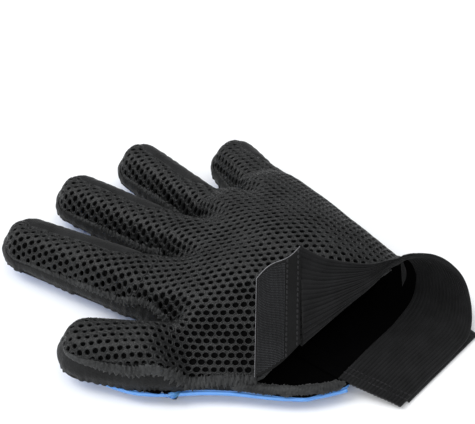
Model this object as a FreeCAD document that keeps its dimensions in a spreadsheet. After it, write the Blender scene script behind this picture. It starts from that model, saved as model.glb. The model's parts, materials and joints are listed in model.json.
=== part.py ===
"""Right-hand grooming glove: mesh back, silicone pin pads on the palm side, open hook-and-loop cuff.

Millimetres, +Z up. The glove lies palm down on the tips of its pins, fingers towards +Y and
thumb towards -X. The origin is the middle of the glove's footprint, on the surface it lies on.
"""
import FreeCAD, Part
import math
import os

import Sketcher
from FreeCAD import Placement, Rotation, Vector

doc = FreeCAD.newDocument("grooming_glove")

# ---------------------------------------------------------------- driving dimensions
sheet = doc.addObject("Spreadsheet::Sheet", "dims")
next_row = [1]


def dim(alias, value):
    """Put one driving dimension in the sheet."""
    cell = "A%d" % next_row[0]
    sheet.set(cell, repr(value))
    sheet.setAlias(cell, alias)
    next_row[0] += 1


# where the drawing frame's zero lies in the glove's own frame
dim("frame_x", -1.05)
dim("frame_y", -53.0)
# levels above the surface
dim("pin_height", 5.0)
dim("pad_thickness", 2.0)
dim("lining_thickness", 1.2)
dim("split_level", 13.0)
dim("back_overlap", 3.0)
dim("wall", 1.5)
# pins
dim("pin_radius", 1.0)
dim("pin_pitch", 5.0)
dim("row_pitch", 8.0)
dim("pin_margin", 3.4)
dim("pad_inset", 1.2)
dim("knuckle_gap", 0.6)
dim("fork_set_back", 0.4)
dim("knuckle_clear", 6.0)
# fingers: knuckle point, turn from +Y towards -X, length to the tip circle, end radii, end heights
FINGERS = {
    "thumb": (-58.0, 52.0, 18.9, 37.0, 14.8, 13.6, 15.5, 13.0),
    "index": (-27.0, 81.0, 2.5, 69.0, 14.3, 13.6, 16.0, 12.0),
    "middle": (4.0, 87.0, -4.7, 60.5, 13.0, 13.2, 16.5, 12.0),
    "ring": (28.5, 79.5, -16.8, 57.0, 11.7, 13.0, 17.0, 12.5),
    "little": (55.5, 67.3, -33.1, 30.2, 14.6, 13.6, 15.5, 12.0),
}
FINGER_DIMS = ("x", "y", "turn", "length", "base_r", "tip_r", "base_up", "tip_up")
for finger, values in FINGERS.items():
    for key, value in zip(FINGER_DIMS, values):
        dim(finger + "_" + key, value)
# the hand's edge on the thumb side and on the little-finger side, from the wrist to the fingers
THUMB_EDGE = [(-28, -20), (-42, -8), (-47, 2), (-53, 20), (-65, 42)]
LITTLE_EDGE = [(68, 50), (60, 30), (53.0, 15), (46.5, 0), (43, -16), (39, -34)]
for i, (x, y) in enumerate(THUMB_EDGE):
    dim("thumb_edge_%s_x" % "abcde"[i], float(x))
    dim("thumb_edge_%s_y" % "abcde"[i], float(y))
for i, (x, y) in enumerate(LITTLE_EDGE):
    dim("little_edge_%s_x" % "abcdef"[i], float(x))
    dim("little_edge_%s_y" % "abcdef"[i], float(y))
dim("crotch_x", -42.5)
dim("crotch_y", 66.0)
# the cuff's fold: its thumb end, direction and the lapel's corner, and the hook tab's end
dim("fold_x", -31.0)
dim("fold_y", 3.0)
dim("fold_z", 25.0)
dim("fold_run", 62.0)
dim("fold_turn", -29.5)
dim("fold_rise", 10.2)
dim("lapel_along", 22.0)
dim("lapel_out", 37.0)
dim("lapel_tilt", 41.5)
dim("band_thickness", 1.6)
dim("hinge_setback", 1.6)
dim("lapel_clearance", 0.7)
dim("tab_clearance", 1.6)
dim("tab_length", 17.6)
dim("tab_fold", 18.0)
dim("tab_shear", -15.0)
dim("tab_corner_cut", 2.0)
dim("tape_inset", 0.8)
dim("tab_backing_thickness", 1.0)
dim("hook_thickness", 0.8)
dim("loop_thickness", 1.1)
doc.recompute()


def d(alias):
    """The value of one driving dimension."""
    return float(getattr(sheet, alias))


PAD_Z = d("pin_height")
LINING_Z = PAD_Z + d("pad_thickness")
FLOOR_Z = LINING_Z + d("lining_thickness")
WALL = d("wall")
FRAME = Vector(d("frame_x"), d("frame_y"), 0)
UP = Vector(0, 0, 1)
# sizes of construction blocks, larger than the whole glove
BLOCK = 400.0
REACH = 300.0
exported = []


# ---------------------------------------------------------------- helpers
def plane_of(body, role):
    """A body's own origin plane."""
    return [f for f in body.Origin.OriginFeatures if f.Role == role][0]


def new_body(label, placement):
    """A PartDesign body with its label and place."""
    body = doc.addObject("PartDesign::Body", label)
    body.Label = label
    body.Placement = placement
    return body


def flat_sketch(body, name, level):
    """A sketch on the body's XY plane, lifted to a level."""
    sketch = body.newObject("Sketcher::SketchObject", name)
    sketch.AttachmentSupport = [(plane_of(body, "XY_Plane"), "")]
    sketch.MapMode = "FlatFace"
    sketch.AttachmentOffset = Placement(Vector(0, 0, level), Rotation())
    return sketch


def draw_polygon(sketch, points):
    """A closed outline of straight runs."""
    first = sketch.GeometryCount
    count = len(points)
    for i in range(count):
        start = Vector(points[i][0], points[i][1], 0)
        end = Vector(points[(i + 1) % count][0], points[(i + 1) % count][1], 0)
        sketch.addGeometry(Part.LineSegment(start, end), False)
    for i in range(count):
        joint = Sketcher.Constraint("Coincident", first + i, 2, first + (i + 1) % count, 1)
        sketch.addConstraint(joint)


def pad(body, name, sketch, expression, down=False):
    """Pad a sketch by a height bound to the sheet."""
    feature = body.newObject("PartDesign::Pad", name)
    feature.Profile = sketch
    feature.setExpression("Length", expression)
    feature.Reversed = down
    return feature


def keep(obj):
    """Mark an object as one of the glove's pieces."""
    exported.append(obj)
    return obj


def finger_placement(finger):
    """A finger's own frame: +Y along the finger from the knuckle line."""
    base = Vector(d(finger + "_x"), d(finger + "_y"), 0) + FRAME
    return Placement(base, Rotation(UP, d(finger + "_turn")))


def finger_outline(finger, inset, start):
    """A finger's plan outline in its own frame: base line, two sides and the tip's arc.

    Gives the left and right base points, the two points where the sides meet the tip's arc,
    and the arc's top point.
    """
    base_r = d(finger + "_base_r") - inset
    tip_r = d(finger + "_tip_r") - inset
    length = d(finger + "_length")
    lean = math.asin((base_r - tip_r) / length)
    side_x = tip_r * math.cos(lean)
    side_y = length + tip_r * math.sin(lean)
    slope = (side_x - base_r) / side_y
    base_x = base_r + slope * start
    return {
        "left": Vector(-base_x, start, 0),
        "right": Vector(base_x, start, 0),
        "left_tip": Vector(-side_x, side_y, 0),
        "right_tip": Vector(side_x, side_y, 0),
        "top": Vector(0, length + tip_r, 0),
    }


def draw_finger(sketch, outline):
    """The closed outline of one finger."""
    arc = Part.Arc(outline["right_tip"], outline["top"], outline["left_tip"])
    sketch.addGeometry(Part.LineSegment(outline["left"], outline["right"]), False)
    sketch.addGeometry(Part.LineSegment(outline["right"], outline["right_tip"]), False)
    sketch.addGeometry(arc, False)
    sketch.addGeometry(Part.LineSegment(outline["left_tip"], outline["left"]), False)


def inside(point, polygon):
    """Whether a plan point lies inside a polygon."""
    x, y = point
    hit = False
    for (x0, y0), (x1, y1) in zip(polygon, polygon[1:] + polygon[:1]):
        if (y0 > y) != (y1 > y) and x < (x1 - x0) * (y - y0) / (y1 - y0) + x0:
            hit = not hit
    return hit


def edge_distance(point, polygon):
    """The distance from a plan point to the nearest side of a polygon."""
    best = 1e9
    spot = Vector(point[0], point[1], 0)
    for (x0, y0), (x1, y1) in zip(polygon, polygon[1:] + polygon[:1]):
        start = Vector(x0, y0, 0)
        run = Vector(x1 - x0, y1 - y0, 0)
        along = max(0.0, min(1.0, (spot - start).dot(run) / run.dot(run)))
        best = min(best, (spot - start - run * along).Length)
    return best


def draw_pins(sketch, polygon, low, high):
    """Pin circles in rows along Y, every other row half a pitch on, clear of the outline."""
    rows = int(d("row_pitch"))
    pitch = d("pin_pitch")
    margin = d("pin_margin")
    half = int(max(abs(x) for x, _ in polygon) / rows) + 1
    for row in range(-half, half + 1):
        x = row * d("row_pitch")
        y = low + (0.5 * pitch if row % 2 else 0.0)
        while y <= high:
            if inside((x, y), polygon) and edge_distance((x, y), polygon) >= margin:
                circle = Part.Circle(Vector(x, y, 0), UP, d("pin_radius"))
                sketch.addGeometry(circle, False)
            y += pitch


# ---------------------------------------------------------------- fingers
def finger_lining(finger):
    """The black fabric that carries a finger's silicone pad."""
    body = new_body(finger + "_lining", finger_placement(finger))
    sketch = flat_sketch(body, finger + "_lining_outline", LINING_Z)
    draw_finger(sketch, finger_outline(finger, 0.0, d("knuckle_gap")))
    pad(body, finger + "_lining_pad", sketch, "dims.lining_thickness")
    return keep(body)


def finger_pad(finger):
    """A finger's silicone pad with its pins."""
    body = new_body(finger + "_pad", finger_placement(finger))
    inset = d("pad_inset")
    outline = finger_outline(finger, inset, d("knuckle_gap"))
    sketch = flat_sketch(body, finger + "_pad_outline", PAD_Z)
    draw_finger(sketch, outline)
    pad(body, finger + "_pad_sheet", sketch, "dims.pad_thickness")
    reach = d(finger + "_length") + d(finger + "_tip_r") - inset
    tip_r = d(finger + "_tip_r") - inset
    polygon = [(outline["left"].x, outline["left"].y), (outline["right"].x, outline["right"].y)]
    for step in range(9):
        turn = math.pi * step / 8
        polygon.append((tip_r * math.cos(turn), d(finger + "_length") + tip_r * math.sin(turn)))
    pins = flat_sketch(body, finger + "_pin_circles", PAD_Z)
    draw_pins(pins, polygon, d("knuckle_clear"), reach)
    pad(body, finger + "_pins", pins, "dims.pin_height", down=True)
    return keep(body)


def finger_gusset(finger):
    """The smooth strip sewn round a finger's sides and tip."""
    body = new_body(finger + "_gusset", finger_placement(finger))
    outer = finger_outline(finger, 0.0, d("knuckle_gap"))
    inner = finger_outline(finger, WALL, d("knuckle_gap"))
    sketch = flat_sketch(body, finger + "_gusset_outline", FLOOR_Z)
    draw = sketch.addGeometry
    draw(Part.LineSegment(outer["right"], outer["right_tip"]), False)
    draw(Part.Arc(outer["right_tip"], outer["top"], outer["left_tip"]), False)
    draw(Part.LineSegment(outer["left_tip"], outer["left"]), False)
    draw(Part.LineSegment(outer["left"], inner["left"]), False)
    draw(Part.LineSegment(inner["left"], inner["left_tip"]), False)
    draw(Part.Arc(inner["left_tip"], inner["top"], inner["right_tip"]), False)
    draw(Part.LineSegment(inner["right_tip"], inner["right"]), False)
    draw(Part.LineSegment(inner["right"], outer["right"]), False)
    height = "dims.split_level - dims.pin_height - dims.pad_thickness - dims.lining_thickness"
    pad(body, finger + "_gusset_strip", sketch, height)
    return keep(body)


def capsule(finger, name, inset):
    """A finger's round stall as a cone with a ball end, its axis falling towards the tip."""
    drop = "(dims.{0}_base_up - dims.{0}_tip_up)".format(finger)
    axis_length = "sqrt(dims.{0}_length ^ 2 + {1} ^ 2)".format(finger, drop)
    cone = doc.addObject("Part::Cone", name + "_cone")
    cone.setExpression("Radius1", "dims.%s_base_r - %g" % (finger, inset))
    cone.setExpression("Radius2", "dims.%s_tip_r - %g" % (finger, inset))
    cone.setExpression("Height", axis_length)
    fall = math.atan2(d(finger + "_base_up") - d(finger + "_tip_up"), d(finger + "_length"))
    axis = Vector(0, math.cos(fall), -math.sin(fall))
    cone.Placement = Placement(Vector(0, 0, d(finger + "_base_up")), Rotation(UP, axis))
    ball = doc.addObject("Part::Sphere", name + "_ball")
    ball.setExpression("Radius", "dims.%s_tip_r - %g" % (finger, inset))
    tip = Vector(0, d(finger + "_length"), d(finger + "_tip_up"))
    ball.Placement = Placement(tip, Rotation())
    stall = doc.addObject("Part::Fuse", name)
    stall.Base = cone
    stall.Tool = ball
    return stall


def finger_back(finger):
    """The mesh cover over a finger, from the gusset's top edge up."""
    outer = capsule(finger, finger + "_stall", 0.0)
    hollow = capsule(finger, finger + "_hollow", WALL)
    shell = doc.addObject("Part::Cut", finger + "_shell")
    shell.Base = outer
    shell.Tool = hollow
    room = doc.addObject("Part::Box", finger + "_room")
    room.setExpression("Length", "4 * dims.%s_base_r" % finger)
    room.setExpression("Width", "dims.{0}_length + 2 * dims.{0}_tip_r".format(finger))
    room.setExpression("Height", "4 * dims.%s_base_r" % finger)
    corner = Vector(-2 * d(finger + "_base_r"), d("knuckle_gap"), d("split_level"))
    room.Placement = Placement(corner, Rotation())
    cover = doc.addObject("Part::Common", finger + "_back")
    cover.Base = shell
    cover.Tool = room
    cover.Label = finger + "_back"
    cover.Placement = finger_placement(finger)
    return keep(cover)


for finger in FINGERS:
    finger_back(finger)
    finger_gusset(finger)
    finger_lining(finger)
    finger_pad(finger)


# ---------------------------------------------------------------- hand
def knuckle_ends(finger, inset=0.0):
    """A finger's knuckle line in plan: its thumb-side end and its little-finger-side end."""
    turn = math.radians(d(finger + "_turn"))
    across = Vector(math.cos(turn), math.sin(turn), 0)
    middle = Vector(d(finger + "_x"), d(finger + "_y"), 0)
    reach = d(finger + "_base_r") - inset
    left = middle - across * reach
    right = middle + across * reach
    return [(left.x, left.y), (right.x, right.y)]


def edge_points(side, letters):
    """Points of the hand's edge from the sheet."""
    return [(d("%s_edge_%s_x" % (side, k)), d("%s_edge_%s_y" % (side, k))) for k in letters]


def hand_outline():
    """The hand's plan outline: thumb edge, the five knuckle lines, little-finger edge, wrist."""
    points = edge_points("thumb", "abcde")
    points += knuckle_ends("thumb")
    points += [(d("crotch_x"), d("crotch_y"))]
    for finger in ("index", "middle", "ring", "little"):
        points += knuckle_ends(finger)
    points += edge_points("little", "abcdef")
    return points


HAND = Placement(FRAME, Rotation())
OUTLINE = hand_outline()


def offset_outline(points, inset):
    """The outline moved inwards by a distance (the points run clockwise seen from above)."""
    moved = []
    count = len(points)
    for i in range(count):
        before = Vector(points[i - 1][0], points[i - 1][1], 0)
        here = Vector(points[i][0], points[i][1], 0)
        after = Vector(points[(i + 1) % count][0], points[(i + 1) % count][1], 0)
        run_in = (here - before).normalize()
        run_out = (after - here).normalize()
        inward_in = Vector(run_in.y, -run_in.x, 0)
        inward_out = Vector(run_out.y, -run_out.x, 0)
        bisector = (inward_in + inward_out).normalize()
        spread = max(0.35, bisector.dot(inward_in))
        spot = here + bisector * (inset / spread)
        moved.append((spot.x, spot.y))
    return moved


def palm_lining():
    """The black fabric palm."""
    body = new_body("palm_lining", HAND)
    sketch = flat_sketch(body, "palm_lining_outline", LINING_Z)
    draw_polygon(sketch, OUTLINE)
    pad(body, "palm_lining_pad", sketch, "dims.lining_thickness")
    return keep(body)


def palm_pad():
    """The palm's silicone pad with its pins."""
    body = new_body("palm_pad", HAND)
    outline = offset_outline(OUTLINE, d("pad_inset") / 2)
    sketch = flat_sketch(body, "palm_pad_outline", PAD_Z)
    draw_polygon(sketch, outline)
    pad(body, "palm_pad_sheet", sketch, "dims.pad_thickness")
    pins = flat_sketch(body, "palm_pin_circles", PAD_Z)
    highest = max(y for _, y in outline)
    lowest = min(y for _, y in outline)
    draw_pins(pins, outline, lowest + 8, highest)
    pad(body, "palm_pins", pins, "dims.pin_height", down=True)
    return keep(body)


# cross-sections of the hand's back: station along Y, then the profile from the thumb side over
# the top to the little-finger side
SECTIONS = [
    (-50.0, [(-24, 10), (-9, 20), (12, 32), (33, 27), (38, 15)]),
    (0.0, [(-47, 11), (-30, 22), (4, 43), (38, 33), (46.5, 15)]),
    (25.0, [(-56, 15), (-36, 28), (0, 44.5), (46, 35), (57, 15)]),
    (50.0, [(-76, 16), (-52, 27), (-4, 39), (54, 34), (69, 15)]),
    (95.0, [(-60, 16), (-40, 27), (2, 31), (46, 30), (74, 15)]),
]


def section_wire(station, profile, inset):
    """One closed cross-section: the back's curve and straight sides down to below the palm."""
    shifted = []
    middle = sum(x for x, _ in profile) / len(profile)
    for x, z in profile:
        shift = inset * (1 if x < middle else -1) if (x, z) in (profile[0], profile[-1]) else 0
        shifted.append(Vector(x + shift, station, z - inset))
    curve = Part.BSplineCurve()
    curve.interpolate(shifted)
    low_right = Vector(shifted[-1].x, station, 0)
    low_left = Vector(shifted[0].x, station, 0)
    edges = [
        curve.toShape(),
        Part.LineSegment(shifted[-1], low_right).toShape(),
        Part.LineSegment(low_right, low_left).toShape(),
        Part.LineSegment(low_left, shifted[0]).toShape(),
    ]
    return Part.Wire(edges)


# the cuff's fold line and the planes of the lapel and of the hook tab
FOLD = Vector(d("fold_x"), d("fold_y"), d("fold_z"))
turn, rise = math.radians(d("fold_turn")), math.radians(d("fold_rise"))
FOLD_AXIS = Vector(math.cos(turn) * math.cos(rise), math.sin(turn) * math.cos(rise), math.sin(rise))
flat_out = FOLD_AXIS.cross(UP).normalize() * -1
upright = FOLD_AXIS.cross(flat_out).normalize()
if upright.z < 0:
    upright = upright * -1
tilt = math.radians(d("lapel_tilt"))
LAPEL_OUT = flat_out * math.cos(tilt) + upright * math.sin(tilt)
LAPEL_NORMAL = FOLD_AXIS.cross(LAPEL_OUT).normalize()
CORNER = FOLD + FOLD_AXIS * d("lapel_along") + LAPEL_OUT * d("lapel_out")
SEAM_AXIS = (CORNER - FOLD).normalize()
across = LAPEL_NORMAL.cross(SEAM_AXIS).normalize()
bend = Rotation(SEAM_AXIS, -d("tab_fold"))
TAB_OUT = bend.multVec(across)
TAB_NORMAL = SEAM_AXIS.cross(TAB_OUT).normalize()


def half_space(normal, point, offset):
    """A large solid block below a plane."""
    box = Part.makeBox(BLOCK, BLOCK, BLOCK, Vector(-BLOCK / 2, -BLOCK / 2, -BLOCK))
    base = point - normal * offset
    box.Placement = Placement(base, Rotation(UP, normal))
    return box


def back_solid(inset):
    """The hand's back as a filled form, with flat ground for the folded cuff and its tab."""
    wires = [section_wire(station, profile, inset) for station, profile in SECTIONS]
    form = Part.makeLoft(wires, True, False)
    under_lapel = d("band_thickness") / 2 + d("lapel_clearance")
    under_tab = d("tab_backing_thickness") + d("tab_clearance")
    form = form.common(half_space(LAPEL_NORMAL, FOLD, under_lapel + inset))
    form = form.common(half_space(TAB_NORMAL, FOLD, under_tab + inset))
    return form


def prism(points, bottom, top):
    """A straight prism over a plan polygon."""
    corners = [Vector(x, y, bottom) for x, y in points]
    face = Part.Face(Part.makePolygon(corners + corners[:1]))
    return face.extrude(Vector(0, 0, top - bottom))


def wrist_side():
    """The region on the fingers' side of the dorsal wrist edge, which runs along the fold."""
    along = Vector(FOLD_AXIS.x, FOLD_AXIS.y, 0).normalize()
    distal = Vector(-along.y, along.x, 0)
    start = Vector(FOLD.x, FOLD.y, 0) + distal * 0.5
    corners = [start - along * REACH, start + along * REACH]
    corners += [corners[1] + distal * REACH, corners[0] + distal * REACH]
    return prism([(c.x, c.y) for c in corners], -1.0, TOP)


TOP = 90.0
OUTER = back_solid(0.0)
INNER = back_solid(WALL)
REGION = wrist_side()


def feature(label, shape):
    """A piece whose form is freely curved, placed in the glove's frame."""
    obj = doc.addObject("Part::Feature", label)
    obj.Label = label
    obj.Shape = shape
    obj.Placement = HAND
    return keep(obj)


def single(shape):
    """The one solid of a shape, or the largest when crumbs are left."""
    return max(shape.Solids, key=lambda s: s.Volume)


def mesh_shell():
    """The thin shell between the outer and the inner form, down to the gussets' top edges."""
    above = prism(OUTLINE, d("split_level") - d("back_overlap"), TOP)
    return OUTER.common(above).common(REGION).cut(INNER)


def hand_back():
    """The mesh back of the hand."""
    return feature("hand_back", single(mesh_shell()))


def strip(points):
    """A gusset: an upright wall along part of the hand's edge, up to the mesh back."""
    runs = [Vector(x, y, 0) for x, y in points]
    inner = []
    for i, spot in enumerate(runs):
        before = runs[max(i - 1, 0)]
        after = runs[min(i + 1, len(runs) - 1)]
        run = (after - before).normalize()
        inner.append(spot + Vector(run.y, -run.x, 0) * WALL)
    polygon = [(v.x, v.y) for v in runs] + [(v.x, v.y) for v in reversed(inner)]
    wall = prism(polygon, FLOOR_Z, TOP)
    return wall.common(OUTER).common(REGION).cut(mesh_shell())


def set_back(points):
    """Points at the fingers' roots moved towards the palm, clear of the fingers."""
    return [(x + d("fork_set_back") / 2, y - d("fork_set_back")) for x, y in points]


def side_gussets():
    """The smooth strips down both sides of the hand, and those between the fingers' roots."""
    thumb_side = edge_points("thumb", "abcde") + [knuckle_ends("thumb")[0]]
    feature("thumb_side_gusset", single(strip(thumb_side)))
    little_side = [knuckle_ends("little")[1]] + edge_points("little", "abcdef")
    feature("little_side_gusset", single(strip(little_side)))
    web = [knuckle_ends("thumb")[1], (d("crotch_x"), d("crotch_y")), knuckle_ends("index")[0]]
    forks = [single(strip(set_back(web)))]
    order = ("index", "middle", "ring", "little")
    for left, right in zip(order[:-1], order[1:]):
        ends = [knuckle_ends(left)[1], knuckle_ends(right)[0]]
        forks.append(single(strip(set_back(ends))))
    feature("fork_gussets", Part.makeCompound(forks))


palm_lining()
palm_pad()
hand_back()
side_gussets()


# ---------------------------------------------------------------- cuff
def frame_at(origin, x_axis, normal):
    """A placement from an origin, an X direction and a normal."""
    z_axis = Vector(normal).normalize()
    x_flat = (x_axis - z_axis * x_axis.dot(z_axis)).normalize()
    y_axis = z_axis.cross(x_flat)
    matrix = FreeCAD.Matrix(
        x_flat.x, y_axis.x, z_axis.x, origin.x,
        x_flat.y, y_axis.y, z_axis.y, origin.y,
        x_flat.z, y_axis.z, z_axis.z, origin.z,
        0, 0, 0, 1)
    return Placement(matrix)


def c_profile(place, start, turn_at, bulge, end, thick):
    """A band's C-shaped section: a flat arm, then an arc up round the side."""
    outer = [Vector(start, 0, 0), Vector(turn_at, 0, 0), Vector(*bulge, 0), Vector(*end, 0)]
    centre_side = Vector(turn_at, bulge[1], 0)
    shrink = []
    for spot in outer[2:]:
        inward = (centre_side - spot).normalize()
        shrink.append(spot + inward * thick)
    inner = [Vector(start, thick, 0), Vector(turn_at, thick, 0)] + shrink
    edges = [
        Part.LineSegment(outer[0], outer[1]).toShape(),
        Part.Arc(outer[1], outer[2], outer[3]).toShape(),
        Part.LineSegment(outer[3], inner[3]).toShape(),
        Part.Arc(inner[3], inner[2], inner[1]).toShape(),
        Part.LineSegment(inner[1], inner[0]).toShape(),
        Part.LineSegment(inner[0], outer[0]).toShape(),
    ]
    wire = Part.Wire(edges)
    wire.Placement = place
    return wire


# where the elastic's free rim and its wrist end turn up, and the way each runs
RIM_START = Vector(32.0, -56.0, 1.45)
RIM_RUN = Vector(0.976, -0.217, 0)
WRIST_START = Vector(39.0, -34.8, 5.0)
WRIST_RUN = Vector(0.9786, -0.206, 0)


def cuff_band():
    """The ribbed elastic: a flat arm under the wrist, curling up round the little-finger side."""
    thick = d("band_thickness")
    rim_up = Vector(0.117, 0.523, 0.844)
    wrist_place = frame_at(WRIST_START, WRIST_RUN, WRIST_RUN.cross(UP))
    rim_place = frame_at(RIM_START, RIM_RUN, RIM_RUN.cross(rim_up))
    wrist = c_profile(wrist_place, -67.5, -12.0, (2.5, 16.0), (-11.0, 31.0), thick)
    rim = c_profile(rim_place, -55.0, -10.0, (7.0, 22.0), (-9.0, 49.0), thick)
    return feature("cuff_band", Part.makeLoft([wrist, rim], True, True))


def loop_panel():
    """The fuzzy loop panel sewn under the arm, one stiff corner standing past the curl."""
    slope = Vector(0.2146, 0.9645, 0.153)
    normal = RIM_RUN.cross(slope)
    drop = Vector(0, 0, -0.02)
    place = frame_at(RIM_START + FRAME + drop, RIM_RUN, normal)
    body = new_body("loop_panel", place)
    sketch = flat_sketch(body, "loop_panel_outline", 0)
    draw_polygon(sketch, [(-50, -1.0), (2.5, -1.0), (2.5, 20), (-50, 20)])
    pad(body, "loop_panel_sheet", sketch, "dims.loop_thickness", down=True)
    return keep(body)


def lapel():
    """The cuff's upper arm, turned back at the fold with its inner face up."""
    set_back = d("hinge_setback")
    run = d("fold_run")
    along, out = d("lapel_along"), d("lapel_out")
    place = frame_at(FOLD + FRAME, FOLD_AXIS, LAPEL_NORMAL)
    body = new_body("cuff_lapel", place)
    sketch = flat_sketch(body, "cuff_lapel_outline", -d("band_thickness") / 2)
    seam_gap = set_back / math.sin(math.atan2(out, along))
    slope = along / out
    corners = [
        (slope * set_back + seam_gap, set_back),
        (slope * out + seam_gap, out),
        (along + 4.5 + seam_gap, out - 7),
        (along + 16, out - 17),
        (along + 25, out - 22.7),
        (run - 5, out - 28),
        (run - 1.5, set_back),
    ]
    draw_polygon(sketch, corners)
    pad(body, "cuff_lapel_sheet", sketch, "dims.band_thickness")
    return keep(body)


def hook_tab():
    """The stiff tab on the lapel's end: its backing, and the hook tape sewn on its inner face."""
    place = frame_at(FOLD + FRAME, SEAM_AXIS, TAB_NORMAL)
    set_back = d("hinge_setback")
    reach = d("tab_length")
    top = (CORNER - FOLD).Length
    shear = d("tab_shear")
    shift = shear * set_back / reach
    outline = [
        (shift + 0.5, set_back),
        (top + shift, set_back),
        (top + shear + d("tab_corner_cut"), reach),
        (shear, reach),
    ]
    backing = new_body("tab_backing", place)
    sketch = flat_sketch(backing, "tab_backing_outline", -d("tab_backing_thickness"))
    draw_polygon(sketch, outline)
    pad(backing, "tab_backing_sheet", sketch, "dims.tab_backing_thickness")
    keep(backing)
    tape = new_body("hook_tape", place)
    sketch = flat_sketch(tape, "hook_tape_outline", 0)
    draw_polygon(sketch, offset_outline(outline, -d("tape_inset")))
    pad(tape, "hook_tape_sheet", sketch, "dims.hook_thickness")
    keep(tape)


cuff_band()
loop_panel()
lapel()
hook_tab()

# ---------------------------------------------------------------- check and write
doc.recompute()
for obj in doc.Objects:
    if "Invalid" in obj.State or "Error" in obj.State:
        raise RuntimeError("failed: " + obj.Name)
os.makedirs("parts", exist_ok=True)
whole = FreeCAD.BoundBox()
for obj in exported:
    if obj.Shape.isNull() or not obj.Shape.isValid():
        raise RuntimeError("bad shape: " + obj.Label)
    obj.Shape.exportStep("parts/%s.step" % obj.Label)
    whole.add(obj.Shape.optimalBoundingBox(True, False))
    print("%-20s %9.1f mm3  %d solid(s)" % (obj.Label, obj.Shape.Volume, len(obj.Shape.Solids)))
print("size", [round(v, 2) for v in (whole.XLength, whole.YLength, whole.ZLength)])
print("middle", round(whole.Center.x, 2), round(whole.Center.y, 2), "lowest", round(whole.ZMin, 3))
for name, axis in (("fold", FOLD_AXIS), ("seam", SEAM_AXIS), ("lapel normal", LAPEL_NORMAL)):
    print(name, [round(v, 4) for v in axis])
print("corner", [round(v, 2) for v in CORNER], "tab normal", [round(v, 4) for v in TAB_NORMAL])
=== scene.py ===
"""Looks of the grooming glove: fabric, silicone and hook-and-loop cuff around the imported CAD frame."""
import json
import math

import bmesh
import bpy
import numpy as np
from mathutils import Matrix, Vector
from mathutils.bvhtree import BVHTree
from mathutils.geometry import delaunay_2d_cdt


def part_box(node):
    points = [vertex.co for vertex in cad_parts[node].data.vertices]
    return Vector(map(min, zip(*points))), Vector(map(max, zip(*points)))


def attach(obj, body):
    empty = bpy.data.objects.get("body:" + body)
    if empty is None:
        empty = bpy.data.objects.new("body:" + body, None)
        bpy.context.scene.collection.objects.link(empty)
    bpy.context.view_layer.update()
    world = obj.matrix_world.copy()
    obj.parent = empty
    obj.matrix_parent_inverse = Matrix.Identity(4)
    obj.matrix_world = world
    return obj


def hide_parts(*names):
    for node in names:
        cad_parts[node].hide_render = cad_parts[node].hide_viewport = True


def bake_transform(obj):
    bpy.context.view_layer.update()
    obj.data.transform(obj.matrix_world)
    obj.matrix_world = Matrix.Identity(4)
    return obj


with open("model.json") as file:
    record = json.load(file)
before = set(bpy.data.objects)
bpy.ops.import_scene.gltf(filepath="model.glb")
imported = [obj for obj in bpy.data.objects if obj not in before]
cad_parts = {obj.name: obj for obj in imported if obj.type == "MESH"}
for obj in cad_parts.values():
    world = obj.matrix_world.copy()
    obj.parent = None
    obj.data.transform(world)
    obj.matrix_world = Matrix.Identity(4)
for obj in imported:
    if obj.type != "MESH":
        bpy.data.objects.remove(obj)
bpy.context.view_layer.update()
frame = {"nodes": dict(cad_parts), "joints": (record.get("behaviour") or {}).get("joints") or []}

MM = 0.001
FINGERS = ("thumb", "index", "middle", "ring", "little")
BODIES = ("hand",) + FINGERS
JOINTS = {joint["name"]: joint for joint in frame["joints"]}
rng = np.random.default_rng(7)


# ---- small helpers
def smooth(value, low, high):
    """0 below low, 1 above high, smooth between."""
    t = np.clip((np.asarray(value, float) - low) / (high - low), 0, 1)
    return t * t * (3 - 2 * t)


def unit(vector):
    """A vector of length one."""
    vector = np.asarray(vector, float)
    return vector / np.linalg.norm(vector)


def unit_rows(rows):
    """Vectors, each scaled to length one."""
    return rows / np.maximum(np.linalg.norm(rows, axis=-1, keepdims=True), 1e-9)


def quarter(way):
    """Plan directions turned a quarter turn anticlockwise."""
    return np.stack([-way[..., 1], way[..., 0]], -1)


def round_turns(sides):
    """Angles evenly spaced once round."""
    return np.linspace(0, 2 * math.pi, sides, endpoint=False)


def make(name, verts, faces, material):
    """A smooth-shaded mesh object from points in millimetres."""
    mesh = bpy.data.meshes.new(name)
    mesh.from_pydata((np.asarray(verts, float) * MM).tolist(), [], faces)
    mesh.materials.append(material)
    mesh.validate()
    mesh.update()
    obj = bpy.data.objects.new(name, mesh)
    bpy.context.scene.collection.objects.link(obj)
    mesh.polygons.foreach_set("use_smooth", [True] * len(mesh.polygons))
    return obj


def grid_faces(rows, cols, closed=False, first=0):
    """Quads of a grid of points stored row by row; closed joins the last column to the first."""
    faces = []
    span = cols if closed else cols - 1
    for i in range(rows - 1):
        for j in range(span):
            k = (j + 1) % cols
            a = first + i * cols
            b = a + cols
            faces.append((a + j, a + k, b + k, b + j))
    return faces


def two_sided(rows, cols):
    """Faces of a closed sheet: a grid of front points, then the same grid of back points."""
    total = rows * cols
    front = grid_faces(rows, cols)
    faces = front + [tuple(total + v for v in face[::-1]) for face in front]
    for i in range(rows - 1):
        a, b = i * cols, (i + 1) * cols
        c, d = a + cols - 1, b + cols - 1
        faces += [(a, b, total + b, total + a), (c, total + c, total + d, d)]
    for j in range(cols - 1):
        e = (rows - 1) * cols + j
        faces += [(j, total + j, total + j + 1, j + 1), (e, e + 1, total + e + 1, total + e)]
    return faces


def weld(obj, gap):
    """Join points of a mesh closer than a gap in millimetres."""
    bm = bmesh.new()
    bm.from_mesh(obj.data)
    bmesh.ops.remove_doubles(bm, verts=bm.verts, dist=gap * MM)
    bmesh.ops.recalc_face_normals(bm, faces=bm.faces)
    bm.to_mesh(obj.data)
    bm.free()
    return obj


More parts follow.
